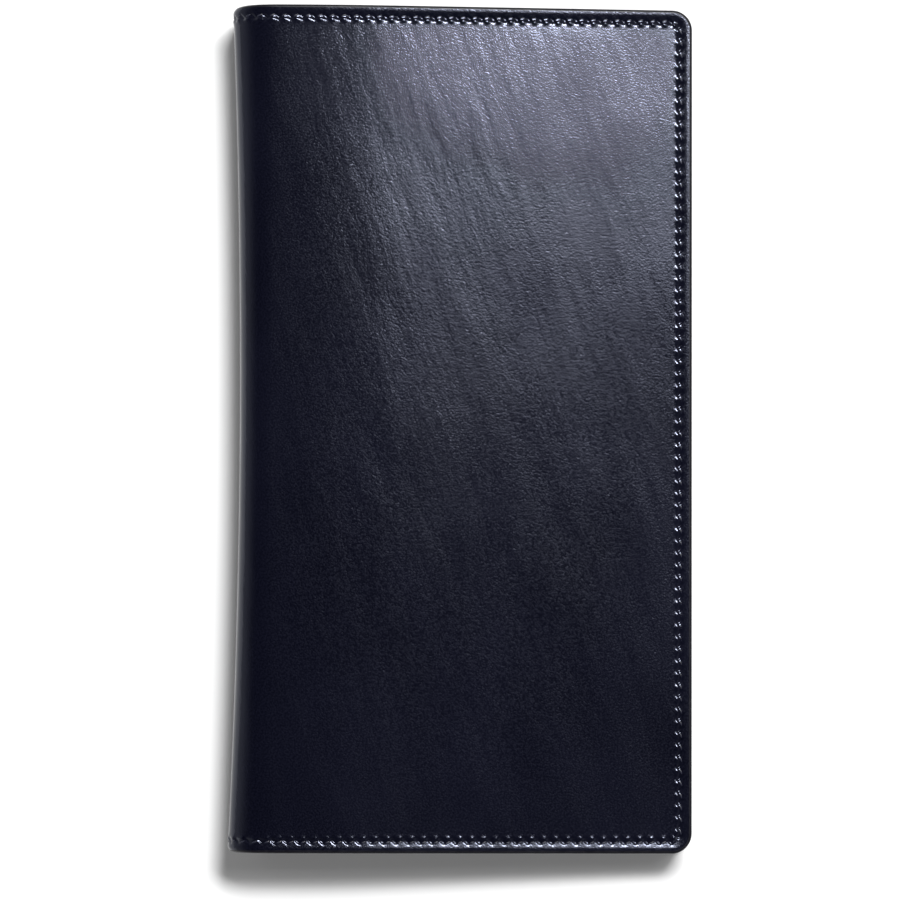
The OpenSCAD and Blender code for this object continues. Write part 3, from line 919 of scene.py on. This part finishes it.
def coin_front():
    """The pocket's front panel, a leather frame round the zip's window, and the window's stitches."""
    window_mid, window_half_l = sum(WINDOW_Y) / 2, (WINDOW_Y[1] - WINDOW_Y[0]) / 2
    centres, outs = loop((ZIP_X, window_mid), WINDOW_HALF - WINDOW_R, window_half_l - WINDOW_R)
    far, _ = loop((-COIN_W / 2, 0.0), COIN_W / 2 - COIN_CORNER_R, POCKET_HALF_L - COIN_CORNER_R)
    outer = far + outs * COIN_CORNER_R
    seam = centres + outs * (WINDOW_R + WINDOW_SEAM)
    run = np.cumsum(np.append(0, np.linalg.norm(np.diff(seam, axis=0), axis=1)))
    length = run[-1] + np.linalg.norm(seam[0] - seam[-1])
    pitch = length / round(length / SEAM_PITCH)
    along = ((run / pitch + 0.5) % 1 - 0.5) * pitch
    rings = []
    for grow in (0.0, 0.07, 0.2, 0.45, 0.8, 1.15, 1.4, 1.6, 1.8, 2.05, 2.4, 2.8):
        off_seam = grow - WINDOW_SEAM
        pressed = -0.20 * np.exp(-(off_seam / 0.42) ** 2)
        rounded = -0.25 * (1 - math.sqrt(1 - (1 - min(grow / 0.5, 1)) ** 2))
        crease = -0.06 * math.exp(-((grow - 0.85) / 0.16) ** 2)
        hole = -0.26 * math.exp(-(off_seam / 0.3) ** 2) * np.exp(-(along / 0.35) ** 2)
        height = COIN_PANEL_T + pressed + rounded + crease + hole
        rings.append((centres + outs * (WINDOW_R + grow), height))
    last = rings[-1][0]
    for f in (0.1, 0.22, 0.36, 0.5, 0.64, 0.78, 0.9, 0.97):
        at = last + (outer - last) * f
        flat = np.column_stack([at, np.full(len(at), 1.0)])
        rings.append((at, COIN_PANEL_T + 0.06 * waves(flat, 22, 3.0) * math.sin(math.pi * f) - 0.02))
    for drop, inset in ((0.0, 0.25), (0.08, 0.08), (0.25, 0.0)):
        rings.append((outer - outs * inset, COIN_PANEL_T - drop))
    side = len(rings)
    rings += [(outer, 0.2), (outer - outs * 0.2, 0.0), (last, 0.0)]
    rings += [(centres + outs * (WINDOW_R + 0.2), 0.0), (centres + outs * WINDOW_R, 0.2)]
    flat = np.concatenate([np.column_stack([at, np.broadcast_to(z, len(at))]) for at, z in rings])
    count = len(outer)
    faces = grid_faces(len(rings), count, closed=True) + band_faces((len(rings) - 1) * count, 0, count)
    painted = {0, 1, side - 2, side - 1, side, len(rings) - 1}
    indices = [int(i in painted) for i in range(len(rings)) for _ in range(count)]
    obj = make_mesh("coin_pocket_front", on_coin(*flat.T), faces, [INNER, PAINT], indices, flat)
    done(obj, ["coin_front_panel"], "back_half")

    cuts = np.arange(0, length - 0.01, pitch)
    seam, marks = np.vstack([seam, seam[:1]]), np.append(run, length)
    holes = np.stack([np.interp(cuts, marks, seam[:, i]) for i in (0, 1)], -1)
    sewn = stitches("coin_pocket_stitches", holes, np.roll(holes, -1, 0),
                    lambda x, y, h: on_coin(x, y, COIN_PANEL_T + h), 1, -0.16, slant=0.18)
    done(sewn, ["coin_seam_thread"], "back_half")


def coin_back():
    """The pocket's back panel."""
    lo, hi = BOX["coin_back_panel"]
    obj = slab(
        "coin_pocket_back", BACK.level, np.linspace(lo.x, hi.x, 12), np.linspace(lo.y, hi.y, 20),
        lambda x, y: np.full_like(x, lo.z + 0.01), lambda x, y: np.full_like(x, hi.z), [TWILL],
        round_edge=0.12,
    )
    done(obj, ["coin_back_panel"], "back_half")


def coin_gusset():
    """The pocket's side wall, folded inwards like a bellows round the three closed sides."""
    end_x = BOX["coin_gusset"][1].x
    x0, y0, r, thick = PANEL_X + 0.15, POCKET_HALF_L - 0.15, 2.0, 0.55
    arc = [math.pi / 2 * i / 8 for i in range(9)]
    path = [(x, y0) for x in np.linspace(end_x, x0 + r, 40)]
    path += [(x0 + r - r * math.sin(a), y0 - r + r * math.cos(a)) for a in arc[1:]]
    path += [(x0, y) for y in np.linspace(y0 - r, r - y0, 60)[1:]]
    path += [(x0 + r - r * math.cos(a), r - y0 - r * math.sin(a)) for a in arc[1:]]
    path += [(x, -y0) for x in np.linspace(x0 + r, end_x, 40)[1:]]
    path = np.array(path)
    ahead = np.gradient(path, axis=0)
    ahead /= np.linalg.norm(ahead, axis=1, keepdims=True)
    inwards = np.stack([-ahead[:, 1], ahead[:, 0]], -1)
    tall = (FREE_X - path[:, 0]) * math.tan(COIN_TILT) - 0.04
    shares = np.linspace(0, 1, 11)
    rings = []
    for offset, order in ((0.0, shares), (thick, shares[::-1])):
        for f in order:
            fold = 0.30 * tall * math.sin(math.pi * f) ** 0.8
            at = path + inwards * (fold + offset)[:, None]
            rings.append(np.column_stack([at, COIN_Z + 0.02 + f * tall]))
    n = len(path)
    faces = []
    starts = [k * n for k in range(len(rings))]
    for a, b in zip(starts, starts[1:] + starts[:1]):
        faces += band_faces(a, b, n, closed=False)
    faces += [tuple(starts), tuple(a + n - 1 for a in starts)[::-1]]
    obj = make_mesh("coin_pocket_gusset", np.concatenate(rings), faces, [INNER])
    done(obj, ["coin_gusset"], "back_half")


def zip_tape(side, word):
    """One woven tape, with a beaded edge that carries the teeth."""
    lo, hi = BOX[f"zip_tape_{word}"]
    near, far = ZIP_X + side * 1.2, ZIP_X + side * 7.0

    def bead(x):
        return 0.16 * np.exp(-((np.abs(x - near) - 0.35) / 0.3) ** 2)

    tape = slab(
        f"zip_tape_weave_{word}", on_coin, np.linspace(min(near, far), max(near, far), 8),
        np.linspace(lo.y, hi.y, 90), lambda x, y: -0.02 + bead(x), lambda x, y: -0.50 - bead(x), [WEAVE],
        round_edge=0.1,
    )
    done(tape, [f"zip_tape_{word}"], "back_half")


TOOTH_PITCH, TOOTH_L, TOOTH_CUT = 2.0, 0.85, 0.14
# Stations along a tooth, from its legs to its head: place, height and width
TOOTH = ((-2.0, 1.75, 0.62), (-1.88, 2.1, 0.8), (-0.75, 2.2, 0.84), (-0.45, 1.95, 0.66),
         (-0.12, 1.75, 0.55), (0.15, 1.75, 0.62), (0.38, 1.8, 0.84), (0.58, 1.6, 0.8), (0.70, 1.2, 0.6))


def zip_teeth(side, word):
    """One row of teeth. Each is a bar with cut corners, a waist and a head."""
    first, last = BOX[f"zip_teeth_{word}"]
    tooth = []
    for x, tall, wide in TOOTH:
        w, h, cut = wide / 2, tall / 2, TOOTH_CUT
        upper = [(w, h - cut), (w - cut, h), (cut - w, h), (-w, h - cut)]
        for y, z in upper + [(-y, -z) for y, z in upper]:
            tooth.append((-side * x, y + TOOTH_L / 2, z - 0.25))
    tooth = np.array(tooth)
    points, faces = [], []
    for i in range(round((last.y - first.y - TOOTH_L) / TOOTH_PITCH) + 1):
        faces += bar_faces(len(TOOTH), 8, i * len(tooth))
        points.append(on_coin(ZIP_X + tooth[:, 0], first.y + i * TOOTH_PITCH + tooth[:, 1], tooth[:, 2]))
    teeth = make_mesh(f"zip_teeth_row_{word}", np.concatenate(points), faces, [BRASS], flat=True)
    done(teeth, [f"zip_teeth_{word}"], "back_half")


def zip_stops():
    """The stop across the zip's lower end, and one at the upper end of each row."""
    low, high = BOX["zip_stops"]
    stop_l = 1.4
    points, faces = [], []
    for x0, x1, y0 in ((-2.0, 2.0, low.y), (-1.8, -0.2, high.y - stop_l), (0.2, 1.8, high.y - stop_l)):
        faces += bar_faces(4, 4, len(points))
        for z, inset in ((-1.35, 0.25), (-1.1, 0.0), (0.6, 0.0), (0.85, 0.25)):
            xs, ys = (x0 + inset, x1 - inset), (y0 + inset, y0 + stop_l - inset)
            points += [(ZIP_X + xs[i], ys[j], z) for i, j in ((0, 0), (1, 0), (1, 1), (0, 1))]
    obj = make_mesh("zip_end_stops", on_coin(*np.array(points).T), faces, [BRASS])
    bevel(obj, 0.1)
    done(obj, ["zip_stops"], "back_half")


SLIDER_Y = PULL_AXIS.y
SLIDER_L = 8.5
CROWN_Z = 1.6  # height of the slider's top
LINK_Z = CROWN_Z + 0.45  # height of the pull's middle
TAB_Y, TAB_L, TAB_W, TAB_T = -4.7, 17.0, 7.0, 1.3
TAB_END = TAB_Y - TAB_L
RIVET_Y = -9


def on_slider(x, y, z):
    """Places about the axis that the pull swings on."""
    return on_coin(ZIP_X + x, SLIDER_Y + y, z)


def slider():
    """Two shaped plates with side flanges, and the bail that holds the pull."""
    points, faces = [], []
    ys = np.linspace(-SLIDER_L / 2, SLIDER_L / 2, 13)
    for way, inner, outer, lip in ((1, 0.95, CROWN_Z, 0.35), (-1, -1.45, -2.1, -0.85)):
        start = len(points)
        for y in ys:
            f = y / SLIDER_L + 0.5
            w = 3.25 + 0.45 * math.cos(2 * math.pi * f) ** 2 - 0.45 * smooth((f - 0.86) / 0.14)
            w -= 0.35 * smooth((0.1 - f) / 0.1)
            high = outer - way * 0.22 * (smooth((0.12 - f) / 0.12) + smooth((f - 0.88) / 0.12))
            inside = w - min(0.8, w - 0.5)
            right = [(0.9, high), (w - 0.45, high), (w - 0.12, high - way * 0.10), (w, high - way * 0.30),
                     (w, lip), (inside, lip), (inside, inner)]
            points += [(x, y, z) for x, z in right] + [(-x, y, z) for x, z in right[::-1]]
        faces += bar_faces(len(ys), 2 * len(right), start)
    obj = make_mesh("zip_slider_plates", on_slider(*np.array(points, float).T), faces, [BRASS])
    bevel(obj, 0.07)
    done(obj, ["zip_slider"], "slider")

    t = np.linspace(0, 1, 25)
    arch = CROWN_Z - 0.15 + 1.33 * np.sin(math.pi * t) ** 0.45
    centres = on_slider(0, -2.1 * np.cos(math.pi * t), arch)[None]
    ups = np.broadcast_to(np.array([1.0, 0.0, 0.0]), centres.shape)
    taper = 1 + 0.25 * np.abs(np.cos(math.pi * t))
    bail = tubes("zip_slider_bail", centres, ups, 0.34, [BRASS], sides=12, taper=taper)
    done(bail, ["slider_bail"], "slider")


def pull_link():
    """Closed wire link through the bail."""
    half_w, length, r, wire_r = 1.85, 6.35, 1.0, 0.38
    arc = np.linspace(0, math.pi / 2, 6)
    corners = [(half_w - r, -r), (half_w - r, r - length), (r - half_w, r - length), (r - half_w, -r)]
    path = []
    for k, (x, y) in enumerate(corners):
        angle = arc + k * math.pi / 2
        path.append(on_slider(x + r * np.sin(angle), y + r * np.cos(angle), LINK_Z))
    path = np.concatenate(path)[None]
    ups = np.broadcast_to(on_slider(0, 0, 1) - on_slider(0, 0, 0), path.shape)
    ring = tubes("pull_wire_link", path, ups, wire_r, [BRASS], closed=True, sides=12)
    done(ring, ["pull_link"], "pull")


def pull_tab():
    """Leather tab folded round the link's far end, with its stitches on both faces."""
    def width(x, y):
        foot = np.clip((TAB_END + 3.2 - y) / 3.2, 0, 1)
        neck = np.clip((y - TAB_Y + 2.2) / 2.2, 0, 1)
        w = TAB_W / 2 * np.sqrt(np.clip(1 - 0.86 * foot ** 2.2, 0, 1)) - 0.75 * smooth(neck)
        return x * w / (TAB_W / 2)

    def swell(x, y):
        fold = 0.14 * np.exp(-((y - TAB_Y + 1.2) / 1.1) ** 2)
        press = -0.07 * np.exp(-((np.abs(x) - 2.55) / 0.25) ** 2)
        return TAB_T / 2 - 0.02 + fold + press

    tab = slab(
        "pull_leather_tab", on_slider, np.linspace(-TAB_W / 2, TAB_W / 2, 29),
        np.linspace(TAB_END, TAB_Y, 46), lambda x, y: LINK_Z - swell(x, y),
        lambda x, y: LINK_Z + swell(x, y), [INNER, PAINT], round_edge=0.22, rim=True, width=width,
    )
    done(tab, ["pull_tab"], "pull")

    holes = np.linspace(TAB_Y - 7.3, TAB_END + 3.4, 4)
    rows = np.array([((x, a), (x, b)) for x in (-2.35, 2.35) for a, b in zip(holes, holes[1:])])
    for way, word in ((1, "upper"), (-1, "lower")):
        sewn = stitches(
            f"pull_tab_stitches_{word}", rows[:, 0], rows[:, 1],
            lambda x, y, h, way=way: on_slider(x, y, LINK_Z + way * (TAB_T / 2 + h)), 1, -0.12, slant=0.1,
        )
        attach(sewn, "pull")


def pull_rivet():
    """Domed rivet through the tab, with the same head on both faces."""
    head = [(0.0, 0.30), (0.5, 0.28), (0.95, 0.21), (1.3, 0.10), (1.55, 0.0), (1.6, -0.1), (1.1, -0.14)]
    profile = [(r, TAB_T / 2 + 0.12 + h) for r, h in head]
    profile += [(r, -h) for r, h in profile[::-1]]
    count = 32
    theta = np.arange(count) * 2 * math.pi / count
    rings = [on_slider(r * np.cos(theta), RIVET_Y + r * np.sin(theta), LINK_Z + h) for r, h in profile]
    faces = grid_faces(len(profile), count, closed=True)
    rivet = make_mesh("pull_rivet_heads", np.concatenate(rings), faces, [BRASS])
    weld(rivet)
    done(rivet, ["pull_rivet"], "pull")


# ---------------------------------------------------------------- inner side of the edge seams

def inner_seam(half, depth_at):
    """The same edge stitches, seen on the inner side of each half."""
    holes = Edge(PANEL_X, half.x1).holes(1)
    starts, ends = holes[:-1], holes[1:]
    depth = np.array([depth_at(x, y) for x, y in (starts + ends) / 2])[:, None]
    sewn = stitches(f"{half.word}_inner_stitches", starts, ends,
                    lambda x, y, h: half.level(x, y, depth + h), -1, -0.10, slant=0.2)
    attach(sewn, half.body)


def front_depth(x, y):
    """Depth of the front half's inner surface at its edge seam."""
    if y > FIRST_MOUTH or x < LEAF_X:
        return PANEL_Z[1]
    number = min(len(CARDS) - 1, int((FIRST_MOUTH - y) // SLOT_PITCH))
    tail = FIRST_MOUTH - number * SLOT_PITCH - SLOT_DEPTH
    return LEAF_DEPTH + LEAF_T + max(y - tail, 0) * LEAF_RISE


def back_depth(x, y):
    """Depth of the back half's inner surface at its edge seam."""
    if abs(y) > POCKET_HALF_L:
        return PANEL_Z[1]
    return COIN_Z + COIN_PANEL_T + (FREE_X - x) * math.tan(COIN_TILT)


for each in (FRONT, BACK):
    cover(each)
    lining(each)
    note_panel(each)
inner_seam(FRONT, front_depth)
inner_seam(BACK, back_depth)
card_slots()
coin_back()
coin_gusset()
coin_front()
for way, word in ((-1, "left"), (1, "right")):
    zip_tape(way, word)
    zip_teeth(way, word)
zip_stops()
slider()
pull_link()
pull_tab()
pull_rivet()


# ---------------------------------------------------------------- floor, light and camera

def stage():
    """The floor, which isn't part of the object."""
    floor = bpy.data.meshes.new("floor")
    floor.from_pydata([(-6, -6, 0), (6, -6, 0), (6, 6, 0), (-6, 6, 0)], [], [(0, 1, 2, 3)])
    obj = bpy.data.objects.new("floor", floor)
    bpy.context.scene.collection.objects.link(obj)
    kit = Kit("floor_white")
    kit.set("Base Color", (0.86, 0.86, 0.86, 1))
    kit.set("Roughness", 0.9)
    kit.set("Specular IOR Level", 0.1)
    kit.set("Emission Color", (1, 1, 1, 1))
    kit.set("Emission Strength", 0.08)
    floor.materials.append(kit.material)
    obj.location.z = -0.00003  # just below the object


def panel_light(name, place, aim, size, power):
    """A softbox at place that points at aim. The camera doesn't see it."""
    data = bpy.data.lights.new(name, "AREA")
    data.shape = "RECTANGLE"
    data.size, data.size_y = size
    data.energy = power
    obj = bpy.data.objects.new(name, data)
    bpy.context.scene.collection.objects.link(obj)
    turn = (Vector(aim) - Vector(place)).to_track_quat("-Z", "Y")
    obj.matrix_world = Matrix.Translation(place) @ turn.to_matrix().to_4x4()
    obj.visible_camera = False


def lights():
    """A world that is darker overhead than round the sides, and two softboxes."""
    world = bpy.data.worlds.new("studio")
    world.use_nodes = True
    tree = world.node_tree
    place = tree.nodes.new("ShaderNodeTexCoord")
    split = tree.nodes.new("ShaderNodeSeparateXYZ")
    level = tree.nodes.new("ShaderNodeMapRange")
    level.interpolation_type = "SMOOTHSTEP"
    for socket, number in (("From Min", 0.20), ("From Max", 0.85), ("To Min", 0.50), ("To Max", 0.03)):
        level.inputs[socket].default_value = number
    tree.links.new(place.outputs["Generated"], split.inputs[0])
    tree.links.new(split.outputs["Z"], level.inputs["Value"])
    tree.links.new(level.outputs["Result"], tree.nodes["Background"].inputs["Strength"])
    tree.nodes["Background"].inputs["Color"].default_value = (1, 1, 1, 1)
    bpy.context.scene.world = world
    panel_light("softbox", (0.745, 0.58, 2.0), (0.745, 0.58, 0), (0.87, 0.57), 8.0)
    panel_light("softbox_core", (0.44, 0.83, 2.0), (0, 0, 0), (0.64, 0.42), 54)


def camera():
    """Almost straight above, standing a little towards the end of the wallet at -y."""
    data = bpy.data.cameras.new("camera")
    data.sensor_width = 36
    obj = bpy.data.objects.new("camera", data)
    bpy.context.scene.collection.objects.link(obj)
    bpy.context.scene.camera = obj
    distance, lean, roll = 0.95, math.radians(3.6), math.radians(0.2)
    image_px, px_per_m = 922, 4815
    centre = Vector((0.0, 0.0, SPINE_T * MM))
    data.lens = px_per_m * distance / image_px * data.sensor_width
    back = Vector((0, -math.sin(lean), math.cos(lean)))
    obj.location = centre + back * distance
    obj.rotation_mode = "QUATERNION"
    turn = (-back).to_track_quat("-Z", "Y").to_matrix() @ Matrix.Rotation(roll, 3, "Z")
    obj.rotation_quaternion = turn.to_quaternion()
    data.shift_x, data.shift_y = -0.0048, -0.0375
    data.clip_start, data.clip_end = 0.01, 100


stage()
lights()
camera()
bpy.context.scene.view_settings.view_transform = "Standard"
